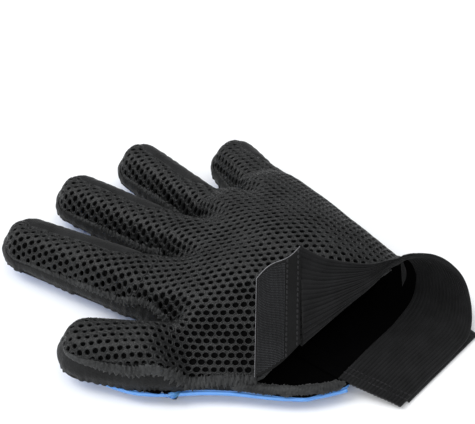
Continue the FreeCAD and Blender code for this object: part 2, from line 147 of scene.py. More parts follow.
def tape(line):
    """The length of a line of points."""
    return float(np.linalg.norm(np.diff(line, axis=0), axis=1).sum())


def evenly(line, count):
    """A number of points evenly spaced along an open line."""
    runs = np.linalg.norm(np.diff(line, axis=0), axis=1)
    length = np.concatenate([[0], np.cumsum(runs)])
    at = np.linspace(0, length[-1], count)
    return np.stack([np.interp(at, length, line[:, k]) for k in range(line.shape[1])], 1)


def resample(line, step):
    """Points about a step apart, evenly spaced along an open line."""
    line = np.asarray(line, float)
    return evenly(line, max(2, int(round(tape(line) / step)) + 1))


def numbered(counts, name):
    """A piece's name, with a number from its second use on."""
    counts[name] = counts.get(name, 0) + 1
    return name if counts[name] == 1 else "%s_%d" % (name, counts[name])


def value_noise(points, scale, seed):
    """Smooth noise at plan points, mostly between -1 and 1, made of a few turned waves."""
    local = np.random.default_rng(seed)
    total = np.zeros(len(points))
    for _ in range(7):
        turn = local.uniform(0, 2 * math.pi)
        wave = local.uniform(0.6, 1.7) * 2 * math.pi / scale
        phase = local.uniform(0, 2 * math.pi)
        total += np.sin((points[:, 0] * math.cos(turn) + points[:, 1] * math.sin(turn)) * wave + phase)
    return total / 4.0


FOLD = np.array(JOINTS["cuff_fold"]["pos_m"]) / MM
FOLD_AXIS = unit(JOINTS["cuff_fold"]["axis"])
FOLD_RUN = unit(JOINTS["cuff_fold"]["axis"][:2])
DISTAL = quarter(FOLD_RUN)
SEAM_AXIS = unit(JOINTS["tab_seam"]["axis"])
# the frame's place of the point that the cuff's own dimensions start from
FRAME = FOLD - np.array([-31.0, 3.0, 25.0])

# ---- materials
def surface(name, values):
    """A new material whose main shader has these values."""
    mat = bpy.data.materials.new(name)
    mat.use_nodes = True
    for key, value in values.items():
        mat.node_tree.nodes["Principled BSDF"].inputs[key].default_value = value
    return mat


def node(owner, kind, values, joins, **settings):
    """A node added to a material or a world: its settings, its input values and what joins its inputs."""
    made = owner.node_tree.nodes.new("ShaderNode" + kind)
    for key, value in settings.items():
        setattr(made, key, value)
    for key, value in values.items():
        made.inputs[key].default_value = value
    for key, source in joins.items():
        owner.node_tree.links.new(source, made.inputs[key])
    return made.outputs


def join_shader(mat, colour, yarn, relief):
    """Join a colour, a roughness and a bump to a material's main shader."""
    shader = mat.node_tree.nodes["Principled BSDF"]
    for key, source in (("Base Color", colour), ("Roughness", yarn), ("Normal", relief)):
        mat.node_tree.links.new(source, shader.inputs[key])
    return mat


def mottle(mat, colour, spread, source):
    """A colour that runs from darker to lighter with a source."""
    dark, light = ((*[min(1, c * (1 + side)) for c in colour], 1) for side in (-spread, spread))
    return node(mat, "Mix", {"A": dark, "B": light}, {"Factor": source}, data_type="RGBA")["Result"]


def fabric(name, colour, scale, bump, rough, sheen, spread=0.5, gloss=0.12):
    """A dyed textile: mottled colour, fine yarn bump and a soft sheen."""
    mat = surface(name, {"Sheen Weight": sheen, "Sheen Roughness": 0.5, "Specular IOR Level": gloss})
    place = node(mat, "TexCoord", {}, {})["Object"]
    yarn = node(mat, "TexNoise", {"Scale": scale, "Detail": 4}, {"Vector": place})["Fac"]
    patch = node(mat, "TexNoise", {"Scale": scale / 12}, {"Vector": place})["Fac"]
    both = node(mat, "Math", {1: 0.75}, {0: yarn, 2: patch}, operation="MULTIPLY_ADD")["Value"]
    shift = node(mat, "MapRange", {"From Min": 0.55, "From Max": 1.2}, {"Value": both})["Result"]
    ends = {"To Min": rough - 0.08, "To Max": min(1.0, rough + 0.12)}
    fuzz = node(mat, "MapRange", ends, {"Value": yarn})["Result"]
    relief = node(mat, "Bump", {"Strength": bump, "Distance": 0.0004}, {"Height": yarn})["Normal"]
    return join_shader(mat, mottle(mat, colour, spread, shift), fuzz, relief)


def silicone(name, colour):
    """Translucent-looking moulded silicone with a satin surface and faint mottling."""
    mat = surface(name, {"Subsurface Weight": 0.25, "Subsurface Radius": (0.001, 0.002, 0.004),
                         "Coat Weight": 0.15, "Coat Roughness": 0.25})
    place = node(mat, "TexCoord", {}, {})["Object"]
    cloud = node(mat, "TexNoise", {"Scale": 60}, {"Vector": place})["Fac"]
    grain = node(mat, "TexNoise", {"Scale": 900}, {"Vector": place})["Fac"]
    gloss = node(mat, "MapRange", {"To Min": 0.28, "To Max": 0.5}, {"Value": grain})["Result"]
    relief = node(mat, "Bump", {"Strength": 0.15, "Distance": 0.0002}, {"Height": grain})["Normal"]
    return join_shader(mat, mottle(mat, colour, 0.15, cloud), gloss, relief)


MESH = fabric("mesh_yarn", (0.0052, 0.0057, 0.0059), 1500, 0.9, 0.30, 0.05, 0.9, 0.32)
# the mesh's lower layer, coloured darker than its yarn as painted shade in the holes
MESH_GROUND_SHADE = fabric("mesh_ground_painted_shade", (0.0012, 0.0012, 0.0013), 1500, 0.4, 0.95, 0.0, 0.5)
GUSSET = fabric("gusset_knit", (0.0088, 0.0092, 0.0096), 1100, 0.9, 0.6, 0.08, 0.6)
SEAM = fabric("seam_pucker", (0.021, 0.022, 0.0225), 900, 1.0, 0.5, 0.10, 0.8, 0.2)
# the lining's own black, darkened further to near black as painted shade inside the glove and its cuff
LINING_AND_SHADE = fabric("lining_weave_painted_shade", (0.0006, 0.0006, 0.0007), 1300, 0.6, 1.0, 0.0, 0.5, 0.03)
ELASTIC = fabric("elastic_rib", (0.0055, 0.0056, 0.0060), 1800, 0.7, 0.65, 0.06, 0.55)
TAPE = fabric("tape_ground", (0.0026, 0.0027, 0.0029), 1600, 0.5, 0.6, 0.08, 0.5)
HOOK = fabric("hook_nylon", (0.034, 0.035, 0.038), 1200, 0.3, 0.4, 0.05, 0.4)
PILE = fabric("loop_pile", (0.014, 0.0145, 0.015), 700, 1.0, 0.9, 0.2, 0.7)
THREAD = fabric("black_thread", (0.012, 0.012, 0.0135), 2500, 0.5, 0.5, 0.1, 0.4)
SELVEDGE = fabric("pale_selvedge", (0.16, 0.16, 0.17), 2200, 0.6, 0.6, 0.1, 0.5)
BLUE = silicone("silicone_blue", (0.10, 0.29, 0.68))
PIN_BLUE = silicone("silicone_pin", (0.025, 0.12, 0.40))


# ---- the glove's outline, from the frame
def node_outline(name):
    """The plan outline of a flat CAD node's top face, in millimetres, anticlockwise from above."""
    mesh = frame["nodes"][name].data
    points = {}
    ids = []
    for vertex in mesh.vertices:
        key = tuple(round(c / MM, 2) for c in vertex.co)
        ids.append(points.setdefault(key, len(points)))
    places = np.array(list(points))
    top = places[:, 2].max() - 0.05
    mesh.calc_loop_triangles()
    edges = set()
    for triangle in mesh.loop_triangles:
        corners = [ids[i] for i in triangle.vertices]
        if places[corners, 2].min() < top:
            continue
        edges.update((corners[i], corners[(i + 1) % 3]) for i in range(3))
    following = {a: b for a, b in edges if (b, a) not in edges}
    start = next(iter(following))
    loop = [start]
    while following[loop[-1]] != start:
        loop.append(following[loop[-1]])
    ring = places[loop, :2]
    x, y = ring[:, 0], ring[:, 1]
    area = np.sum(x * np.roll(y, -1) - y * np.roll(x, -1))
    return ring if area > 0 else ring[::-1]


class Finger:
    """A finger's own plan frame and size, read from its joint and its lining."""

    def __init__(self, name):
        joint = JOINTS[name + "_knuckle"]
        self.name = name
        self.base = np.array(joint["pos_m"][:2]) / MM
        self.across = unit(-np.array(joint["axis"][:2]))
        self.along = quarter(self.across)
        ring = node_outline(name + "_lining")
        local = self.local(ring)
        self.reach = local[:, 1].max()
        self.width = np.abs(local[:, 0]).max()
        start = local[:, 1].min() + 0.05
        base_ids = np.where(local[:, 1] < start)[0]
        right = base_ids[np.argmax(local[base_ids, 0])]
        self.side = np.roll(ring, -right, axis=0)
        if self.local(self.side[1:2])[0, 1] < start:
            self.side = np.roll(ring[::-1], -(len(ring) - 1 - right), axis=0)

    def local(self, points):
        """Plan points in the finger's frame: across, along."""
        shift = np.asarray(points, float)[:, :2] - self.base
        return np.stack([shift @ self.across, shift @ self.along], 1)

    def world(self, across, along):
        """A plan point from the finger's frame."""
        return self.base + self.across * across + self.along * along


HAND = {name: Finger(name) for name in FINGERS}


def relax(values, sigma):
    """An open row of values or points smoothed along its length, with its ends held."""
    values = np.asarray(values, float)
    flat = values.ndim == 1
    rows = values[:, None] if flat else values
    half = min(int(3 * sigma) + 1, len(rows) - 2)
    kernel = np.exp(-0.5 * (np.arange(-half, half + 1) / sigma) ** 2)
    kernel /= kernel.sum()
    out = np.empty_like(rows)
    for k in range(rows.shape[1]):
        start = 2 * rows[0, k] - rows[half:0:-1, k]
        end = 2 * rows[-1, k] - rows[-2:-half - 2:-1, k]
        out[:, k] = np.convolve(np.concatenate([start, rows[:, k], end]), kernel, "valid")
    return out[:, 0] if flat else out


def glove_outline():
    """The whole glove's outline from the wrist's little-finger corner, round every finger, to its
    thumb-side corner: the palm's outline with each knuckle line replaced by the finger's own."""
    palm = node_outline("palm_lining")
    count = len(palm)
    lows = [palm[i, 1] + palm[(i + 1) % count, 1] for i in range(count)]
    palm = np.roll(palm, -(int(np.argmin(lows)) + 1), axis=0)
    line = []
    for i in range(count - 1):
        here, after = palm[i], palm[i + 1]
        line.append(here)
        for finger in HAND.values():
            if np.linalg.norm((here + after) / 2 - finger.base) < 1.5:
                line.extend(finger.side)
    line.append(palm[-1])
    return relax(resample(line, 0.8), 2.2)


def ease_thumb_root(line):
    """The outline with one long smooth sweep where the thumb's outer side runs into the palm's edge."""
    thumb = HAND["thumb"]
    corner = thumb.world(-thumb.width, 0)
    gap = np.linalg.norm(line - corner, axis=1)
    number = np.arange(len(line))
    past = number - int(gap.argmin())
    weight = smooth(past, -26, -6) * smooth(number[::-1], 2, 12)
    return line + (relax(line, 12) - line) * weight[:, None]


OUTLINE = ease_thumb_root(glove_outline())
INWARD = quarter(unit_rows(np.gradient(OUTLINE, axis=0)))

# ---- fields over the plan
CELL = 1.0
low = OUTLINE.min(0) - 8
high = OUTLINE.max(0) + 8
NX, NY = (np.ceil((high - low) / CELL).astype(int) + 1)
GX, GY = np.meshgrid(low[0] + CELL * np.arange(NX), low[1] + CELL * np.arange(NY), indexing="ij")
GRID = np.stack([GX.ravel(), GY.ravel()], 1)


def inside(points, ring):
    """Which plan points lie inside a closed outline."""
    hit = np.zeros(len(points), bool)
    x, y = points[:, 0], points[:, 1]
    x0, y0 = ring[:, 0], ring[:, 1]
    x1, y1 = np.roll(x0, -1), np.roll(y0, -1)
    for k in range(len(ring)):
        cross = (y0[k] > y) != (y1[k] > y)
        with np.errstate(divide="ignore", invalid="ignore"):
            hit ^= cross & (x < (x1[k] - x0[k]) * (y - y0[k]) / (y1[k] - y0[k]) + x0[k])
    return hit


def nearest(points, line):
    """Distance from each plan point to a line of samples, and the nearest sample's number."""
    best = np.full(len(points), 1e9)
    which = np.zeros(len(points), int)
    for first in range(0, len(points), 4000):
        block = points[first:first + 4000]
        gaps = np.linalg.norm(block[:, None] - line[None], axis=2)
        which[first:first + 4000] = gaps.argmin(1)
        best[first:first + 4000] = gaps.min(1)
    return best, which


def blur(field, sigma):
    """A plan field smoothed by a round brush."""
    half = int(3 * sigma / CELL) + 1
    kernel = np.exp(-0.5 * (np.arange(-half, half + 1) * CELL / sigma) ** 2)
    kernel /= kernel.sum()
    out = np.apply_along_axis(lambda row: np.convolve(row, kernel, "same"), 0, field)
    return np.apply_along_axis(lambda row: np.convolve(row, kernel, "same"), 1, out)


def sample(field, points):
    """A plan field read at plan points."""
    fx = np.clip((points[:, 0] - low[0]) / CELL, 0, NX - 1.001)
    fy = np.clip((points[:, 1] - low[1]) / CELL, 0, NY - 1.001)
    ix, iy = fx.astype(int), fy.astype(int)
    tx, ty = fx - ix, fy - iy
    top = field[ix, iy] * (1 - tx) + field[ix + 1, iy] * tx
    bottom = field[ix, iy + 1] * (1 - tx) + field[ix + 1, iy + 1] * tx
    return top * (1 - ty) + bottom * ty


def cad_top():
    """The height of the CAD glove's back over the plan, and where there is one."""
    verts, faces = [], []
    names = ["hand_back", "thumb_side_gusset", "little_side_gusset", "fork_gussets"]
    names += [finger + part for finger in FINGERS for part in ("_back", "_gusset")]
    for name in names:
        mesh = frame["nodes"][name].data
        first = len(verts)
        verts.extend(vertex.co.copy() for vertex in mesh.vertices)
        faces.extend([first + i for i in polygon.vertices] for polygon in mesh.polygons)
    tree = BVHTree.FromPolygons(verts, faces)
    height = np.zeros(NX * NY)
    found = np.zeros(NX * NY)
    down = Vector((0, 0, -1))
    for k, (x, y) in enumerate(GRID):
        hit = tree.ray_cast(Vector((x * MM, y * MM, 0.2)), down)[0]
        if hit is not None:
            height[k] = hit.z / MM
            found[k] = 1
    return height.reshape(NX, NY), found.reshape(NX, NY)


IN = inside(GRID, OUTLINE).reshape(NX, NY)
EDGE, _ = nearest(GRID, OUTLINE)
EDGE = EDGE.reshape(NX, NY) * np.where(IN, 1, -1)
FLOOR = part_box("palm_lining")[1].z / MM
CAD_Z, CAD_IN = cad_top()
CAD_IN = CAD_IN * IN


def filled(sigma):
    """The CAD height smoothed, counting only where there is a surface."""
    return blur(CAD_Z * CAD_IN, sigma) / np.maximum(blur(CAD_IN, sigma), 1e-4)


def height_field():
    """The glove's own height: the CAD back eased into cloth, with soft valleys at the finger roots."""
    fine, broad = filled(1.6), filled(5.5)
    mix = smooth(EDGE, 5, 14)
    for finger in HAND.values():
        local = finger.local(GRID).reshape(NX, NY, 2)
        spread = 12 if finger.name == "thumb" else 9
        near = (1 - smooth(np.abs(local[..., 1]), spread * 0.4, spread))
        near *= 1 - smooth(np.abs(local[..., 0]), finger.width + 4, finger.width + 9)
        mix = np.maximum(mix, near)
    field = fine * (1 - mix) + broad * mix
    for left, right in zip(FINGERS[:-1], FINGERS[1:]):
        one, two = HAND[left], HAND[right]
        fork = (one.world(one.width, 0) + two.world(-two.width, 0)) / 2
        back = -unit(one.along + two.along)
        shift = GRID - fork
        along = (shift @ back - 4).reshape(NX, NY)
        across = (shift @ quarter(back)).reshape(NX, NY)
        field -= 7.5 * np.exp(-(across / 4.2) ** 2 - (along / 10.0) ** 2)
    flat = value_noise(GRID, 26.0, 3).reshape(NX, NY)
    crease = value_noise(GRID, 9.0, 5).reshape(NX, NY)
    ease = smooth(EDGE, 2, 9)
    return field + ease * (0.55 * flat + 0.16 * crease)


HEIGHT = height_field()
# how far in from the outline the glove's rounded side runs
ROUND = 5.5


def top_z(points):
    """The height of the glove's back at plan points: the field, rounded down to the floor at its edge."""
    t = np.clip(sample(EDGE, points) / ROUND, 0, 1)
    return FLOOR + (sample(HEIGHT, points) - FLOOR) * np.sqrt(np.clip(1 - (1 - t) ** 2, 0.0004, 1))


def owner(points):
    """Which body each plan point belongs to: 0 for the hand, then the fingers in order."""
    body = np.zeros(len(points), int)
    closest = np.full(len(points), 1e9)
    for k, finger in enumerate(HAND.values()):
        local = finger.local(points)
        off = np.abs(local[:, 0])
        mine = (local[:, 1] > 0) & (off < finger.width + 3) & (off < closest)
        mine &= local[:, 1] < finger.reach + 4
        body[mine] = k + 1
        closest[mine] = off[mine]
    return body


def wrist_side(points):
    """Distance in plan from the cuff's fold line, positive towards the fingers."""
    return (points - FOLD[:2]) @ DISTAL


# ---- seams between mesh and gusset
# how far in the seam runs on each finger: on its thumb side, on its other side and at its tip
SEAM_WIDTHS = {
    "thumb": (2.9, 2.6, 2.6),
    "index": (0.8, 12.0, 3.2),
    "middle": (0.8, 11.0, 3.2),
    "ring": (0.8, 11.5, 3.4),
    "little": (0.9, 10.5, 3.4),
}
FORK_SEAM, LITTLE_SEAM, THUMB_SEAM = 1.6, 8.0, 2.9


def seam_offsets():
    """How far in from the outline the mesh panel's seam runs: close on each finger's thumb side,
    well over the top on its other side, because the stalls lie rolled towards the thumb."""
    depth = np.full(len(OUTLINE), FORK_SEAM)
    on_finger = np.zeros(len(OUTLINE), bool)
    for name, finger in HAND.items():
        local = finger.local(OUTLINE)
        mine = (local[:, 1] > 0) & (np.abs(local[:, 0]) < finger.width + 2)
        mine &= local[:, 1] < finger.reach + 2
        on_finger |= mine
        side = local[:, 0] / finger.width
        near, far, tip = SEAM_WIDTHS[name]
        far = 1.5 + (far - 1.5) * smooth(local[:, 1], 0, 22)
        flank = smooth(np.abs(side), 0.3, 0.9)
        value = np.where(side < 0, near, far) * flank + tip * (1 - flank)
        depth[mine] = value[mine]
    number = np.arange(len(OUTLINE))
    first = number[on_finger].min()
    last = number[on_finger].max()
    thumb_edge = number > last
    depth[number < first] = LITTLE_SEAM
    depth[thumb_edge] = THUMB_SEAM + 2.6 * smooth(number[thumb_edge], last, last + 60)
    return relax(depth, 4.0), thumb_edge


SEAM_IN, THUMB_EDGE = seam_offsets()
SEAM_LINE = relax(OUTLINE + INWARD * SEAM_IN[:, None], 2.0)
SEAM_RING = np.concatenate([SEAM_LINE, [SEAM_LINE[-1] + [0, -2], SEAM_LINE[0] + [0, -2]]])
IN_PANEL = inside(GRID, SEAM_RING).reshape(NX, NY)
SEAM_GAP, _ = nearest(GRID, SEAM_LINE)
SEAM_GAP = SEAM_GAP.reshape(NX, NY) * np.where(IN_PANEL, 1, -1)
HEIGHT -= 0.75 * np.exp(-(SEAM_GAP / 1.0) ** 2)


def finish_piece(obj, body, replaced=()):
    """Put a piece in place: a finger's piece has its place baked into its mesh, any other piece goes on
    its body's empty; the CAD nodes it replaces are hidden.
    """
    if body in HAND:
        finger = HAND[body]
        start = (*(finger.world(0, 2.0) * MM), 0.005)
        end = (*(finger.world(0, min(30.0, 0.62 * finger.reach)) * MM), 0.005)
        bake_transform(obj)
    else:
        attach(obj, body)
    if replaced:
        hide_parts(*replaced)
    return obj


# ---- mesh back as a real net
# the net's rows: their direction, the cells' spacing along and across them, a hole's half sizes, the
# sides of a cell, how high its yarn stands, the rows and columns laid, and the rounds of easing
ROW_TURN = math.radians(-62.0)
PITCH = 3.5
ROW = 2.68
HOLE = (1.02, 0.74)
SIDES = 12
NET_UP = 0.5
LATTICE = (96, 74)
EASING = 260
# the back's open edge leaves the cuff's fold line by this much over this length
FOLD_RISE, FOLD_LENGTH = 6.5, 57.0
# the direction in plan from the thumb's side across the hand; slopes that face against it have wider
# holes, and seams there are gathered
ACROSS_HAND = np.array([0.87, 0.5])


def fold_rise(run):
    """How far the back's open edge leaves the cuff's fold line, by distance along it."""
    return FOLD_RISE * np.clip(run / FOLD_LENGTH, 0, 1.1)


def back_edge(points):
    """Distance in plan from the open edge of the glove's back, positive towards the fingers."""
    slanted = wrist_side(points) - fold_rise((points - FOLD[:2]) @ FOLD_RUN)
    return np.minimum(slanted, points[:, 1] - FRAME[1] + 17.0)


def on_back(points, past_seam, margin):
    """Which plan points lie on the mesh back, counting those up to a distance past its seam."""
    on = (sample(SEAM_GAP, points) > -past_seam) & (back_edge(points) > 0.2)
    return on & ((points > low + margin) & (points < high - margin)).all(1)


def snap(points):
    """Plan points that stray past the seam line or the wrist's edge are drawn back to it."""
    gap = sample(SEAM_GAP, points)
    out = gap < 0.1
    if out.any():
        _, which = nearest(points[out], SEAM_LINE)
        points[out] = SEAM_LINE[which]
    over = np.clip(1.2 - back_edge(points), 0, None)
    return points + DISTAL * over[:, None]


def neighbours(field, row_shift, side):
    """The lattice moved so that each cell holds its neighbour: side -1 or 1 on the next or last row,
    or two cells' width on its own row when row_shift is 0."""
    if row_shift == 0:
        return np.roll(field, -side, axis=1)
    moved = np.roll(field, -row_shift, axis=0)
    odd = (np.arange(field.shape[0]) % 2 == 1)[:, None, None]
    if side > 0:
        return np.where(odd, np.roll(moved, -1, axis=1), moved)
    return np.where(odd, moved, np.roll(moved, 1, axis=1))


def lattice():
    """Plan positions of a brick lattice laid over the glove's back and eased, like stretched
    netting, until each cell keeps its own size on the slopes."""
    along = np.array([math.cos(ROW_TURN), math.sin(ROW_TURN)])
    up = quarter(along)
    rows, cols = LATTICE
    r, c = np.meshgrid(np.arange(rows), np.arange(cols), indexing="ij")
    u = (c - cols / 2 + 0.5 * (r % 2)) * PITCH
    v = (r - rows / 2) * ROW
    plan = (low + high) / 2 + u[..., None] * along + v[..., None] * up
    slant = math.hypot(PITCH / 2, ROW)
    springs = ((0, 1, PITCH), (1, 1, slant), (1, -1, slant))
    inner = np.zeros((rows, cols, 1))
    inner[2:-2, 2:-2] = 1
    for _ in range(EASING):
        flat = plan.reshape(-1, 2)
        spots = np.concatenate([flat, top_z(flat)[:, None]], 1).reshape(rows, cols, 3)
        move = np.zeros_like(plan)
        for row_shift, side, rest in springs:
            for sign in (1, -1):
                other = neighbours(spots, row_shift * sign, side * sign)
                gap = other - spots
                length = np.linalg.norm(gap, axis=2, keepdims=True)
                move += gap[..., :2] * (1 - rest / np.maximum(length, 1e-6))
        plan = plan + np.clip(0.09 * move, -0.4, 0.4) * inner
    return plan


def cells():
    """For every net cell on the mesh panel: its centre, its border and the frame of its hole."""
    plan = lattice()
    ring = [neighbours(plan, *spot) for spot in ((-1, 1), (0, 1), (1, 1), (1, -1), (0, -1), (-1, -1))]
    corners = [(plan + ring[k] + ring[(k + 1) % 6]) / 3 for k in range(6)]
    per = SIDES // 6
    border = []
    for k in range(6):
        a, b = corners[k], corners[(k + 1) % 6]
        border.extend(a + (b - a) * i / per for i in range(per))
    centre = plan[2:-2, 2:-2].reshape(-1, 2)
    border = np.stack(border, 2)[2:-2, 2:-2].reshape(-1, SIDES, 2) - centre[:, None]
    east = (ring[1] - ring[4])[2:-2, 2:-2].reshape(-1, 2) / (2 * PITCH)
    north = (ring[2] + ring[3] - ring[0] - ring[5])[2:-2, 2:-2].reshape(-1, 2) / (4 * ROW)
    keep = on_back(centre, 1.2, 2)
    return centre[keep], border[keep], east[keep], north[keep]


def surface_normals(points):
    """Unit normals of the glove's back at plan points."""
    step = 0.8
    dx = top_z(points + [step, 0]) - top_z(points - [step, 0])
    dy = top_z(points + [0, step]) - top_z(points - [0, step])
    return unit_rows(np.stack([-dx / (2 * step), -dy / (2 * step), np.ones(len(points))], 1))


def lift(points, offset):
    """Plan points put on the glove's back and moved out along its normal."""
    normal = surface_normals(points)
    spots = np.concatenate([points, top_z(points)[:, None]], 1)
    return spots + normal * np.asarray(offset)[:, None]


def net():
    """The mesh back: every cell a rounded ring of yarn round a hole, one piece for each body."""
    centres, borders, east, north = cells()
    start = math.atan2(-ROW / 3, PITCH / 2)
    turns = start + np.arange(6) * math.pi / 3
    angle = np.repeat(turns, SIDES // 6) + np.tile(np.arange(SIDES // 6) * 2 * math.pi / SIDES, 6)
    body = owner(centres)
    slope = surface_normals(centres)
    facing = np.clip(-(slope[:, :2] @ ACROSS_HAND), 0, 1)
    size = 1.0 + 0.34 * smooth(facing, 0.25, 0.7) + 0.16 * value_noise(centres, 24, 31)
    size += 0.05 * rng.standard_normal(len(centres))
    size *= 0.9 + 0.1 * smooth(sample(SEAM_GAP, centres), 1, 5)
    slant = 0.2 * value_noise(centres, 30, 32)
    size = size * np.where(body > 0, 0.93, 1.0)
    skew = 0.07 * rng.standard_normal((len(centres), 2))
    # shares of the cell's border and of the hole's oval, and height, from the border in to the hole
    rings = ((1.0, 0.0, -0.12), (0.60, 0.40, NET_UP), (0.22, 0.78, NET_UP * 0.7),
             (0.0, 1.0, 0.0), (0.0, 1.06, -0.8))
    for k, name in enumerate(BODIES):
        mine = np.where(body == k)[0]
        x = np.cos(angle)[None] * HOLE[0] * size[mine, None] + skew[mine, :1]
        y = np.sin(angle)[None] * HOLE[1] * size[mine, None] + skew[mine, 1:]
        x = x + y * slant[mine, None]
        oval = x[..., None] * east[mine, None] + y[..., None] * north[mine, None]
        levels = [centres[mine, None] + borders[mine] * edge + oval * core for edge, core, _ in rings]
        out = np.tile(np.repeat([rise for _, _, rise in rings], SIDES), len(mine))
        verts = lift(snap(np.stack(levels, 1).reshape(-1, 2)), out)
        faces = []
        for first in range(0, len(verts), len(rings) * SIDES):
            faces.extend(grid_faces(len(rings), SIDES, True, first))
        obj = weld(make(name + "_mesh_back", verts, faces, MESH), 0.02)
        finish_piece(obj, name, [name + "_back"])


def girths(body):
    """The mesh back's cut by tape: its widths over the rise, every 2 mm, and its greatest length."""
    if body:
        finger = HAND[BODIES[body]]
        start, across, along = finger.base, finger.across, finger.along
    else:
        start, across, along = (low + high) / 2, np.array([1.0, 0.0]), np.array([0.0, 1.0])
    u, v = np.arange(-90, 90, 0.5), np.arange(-90, 130, 2.0)
    plan = start + u[None, :, None] * across + v[:, None, None] * along
    flat = plan.reshape(-1, 2)
    on = (on_back(flat, 0, 1) & (owner(flat) == body)).reshape(len(v), len(u))
    spots = np.column_stack([flat, top_z(flat)]).reshape(len(v), len(u), 3)
    sideways = np.linalg.norm(np.diff(spots, axis=1), axis=2) * (on[:, 1:] & on[:, :-1])
    lengthways = np.linalg.norm(np.diff(spots, axis=0), axis=2) * (on[1:] & on[:-1])
    widths = sideways.sum(1)
    return widths[widths > 0], float(lengthways.sum(0).max())


def ground_layer():
    """The mesh's closed lower layer, seen through the holes and coloured darker than the yarn as painted
    shade there, one piece for each body.
    """
    step = 2
    keep = (SEAM_GAP > -2.0) & (EDGE > 1.0) & (back_edge(GRID).reshape(NX, NY) > 0.2)
    quads = [[] for _ in BODIES]
    for i in range(0, NX - step, step):
        for j in range(0, NY - step, step):
            corner = [(i, j), (i + step, j), (i + step, j + step), (i, j + step)]
            if all(keep[c] for c in corner):
                centre = np.array([[low[0] + (i + step / 2) * CELL, low[1] + (j + step / 2) * CELL]])
                quads[owner(centre)[0]].append(corner)
    for k, name in enumerate(BODIES):
        ids = {}
        faces = [tuple(ids.setdefault(spot, len(ids)) for spot in quad) for quad in quads[k]]
        places = low + CELL * np.array(list(ids))
        verts = lift(places, np.full(len(places), -1.3))
        obj = make(name + "_mesh_ground_painted_shade", verts, faces, MESH_GROUND_SHADE)
        finish_piece(obj, name)
        widths, length = girths(k)


# ---- gussets and seams
def spans():
    """Runs of the outline by body: (body number, first sample, last sample)."""
    body = owner(OUTLINE)
    result = []
    first = 0
    for i in range(1, len(body) + 1):
        if i == len(body) or body[i] != body[first]:
            result.append((body[first], first, min(i, len(body) - 1)))
            first = i
    return result


PROFILE = 16


def gusset_grid(first, last):
    """Points of the gusset from the lining up the bulging wall and over to the seam, by column."""
    t = np.linspace(0, 1, PROFILE)
    spots = OUTLINE[first:last + 1, None]
    seam = SEAM_LINE[first:last + 1, None]
    plan = spots + (seam - spots) * (t ** 1.7)[None, :, None]
    height = top_z(plan.reshape(-1, 2)).reshape(plan.shape[:2])
    belly = np.sin(math.pi * np.clip((height - FLOOR) / 9.0, 0, 1) ** 0.8) * 1.1
    plan = plan - INWARD[first:last + 1, None] * belly[..., None]
    share = 0.05 + 0.95 * smooth(back_edge(OUTLINE[first:last + 1]), -4.5, 0.5)
    height = FLOOR + (height - FLOOR) * share[:, None]
    height[:, 0] = FLOOR - 1.0
    height[:, -1] += 0.05
    return np.concatenate([plan, height[..., None]], 2)


def gussets():
    """The smooth strips: one piece for each run of the outline."""
    counts = {}
    for body, first, last in spans():
        if last - first < 3:
            continue
        rows = gusset_grid(first, last)
        count = len(rows)
        pull = value_noise(rows.reshape(-1, 3)[:, :2], 5.0, 11).reshape(count, PROFILE)
        fold = np.sin(np.linspace(0, math.pi, PROFILE))[None] * 0.22 * pull
        verts = rows.reshape(-1, 3)
        push = np.repeat(-INWARD[first:last + 1], PROFILE, axis=0) * fold.ravel()[:, None]
        verts[:, :2] += push
        keep = back_edge(OUTLINE[first:last + 1]) > np.where(THUMB_EDGE[first:last + 1], 0.3, -99)
        faces = [f for f in grid_faces(count, PROFILE) if keep[f[0] // PROFILE]]
        if not faces:
            continue
        label = numbered(counts, BODIES[body] + "_gusset_skin")
        obj = weld(make(label, verts, faces, GUSSET), 0.01)
        if body:
            replaced = BODIES[body] + "_gusset"
        elif THUMB_EDGE[(first + last) // 2]:
            replaced = "thumb_side_gusset"
        else:
            replaced = "fork_gussets" if counts["hand_gusset_skin"] == 2 else "little_side_gusset"
        finish_piece(obj, BODIES[body], [replaced])


def tube(name, path, radius, material, sides=8, normals=None, squash=1.0):
    """A tube of varying radius along a path in millimetres, capped at both ends."""
    path = np.asarray(path, float)
    radius = np.asarray(radius, float)
    if radius.ndim < 2:
        radius = np.broadcast_to(radius[..., None], (len(path), sides))
    tangent = unit_rows(np.gradient(path, axis=0))
    side = unit_rows(np.cross(tangent, [0, 0, 1.0] if normals is None else normals))
    upright = np.cross(side, tangent)
    turns = round_turns(sides)
    rings = [side * math.cos(turn) + upright * math.sin(turn) * squash for turn in turns]
    verts = (path[:, None] + np.stack(rings, 1) * radius[..., None]).reshape(-1, 3)
    faces = grid_faces(len(path), sides, True)
    faces.append(tuple(range(sides))[::-1])
    faces.append(tuple(range(len(verts) - sides, len(verts))))
    return make(name, verts, faces, material)


RIDGE_SIDES = 16
RIDGE_STEP, ROLL_STEP = 0.33, 0.45


def puckers(steps, stretch, scale, seed):
    """The roughness of a roll of cloth, by step along it and by turn round it."""
    turns = round_turns(RIDGE_SIDES)
    field = np.column_stack([np.repeat(steps, RIDGE_SIDES), np.tile(turns * stretch, len(steps))])
    return value_noise(field, scale, seed).reshape(len(steps), RIDGE_SIDES)


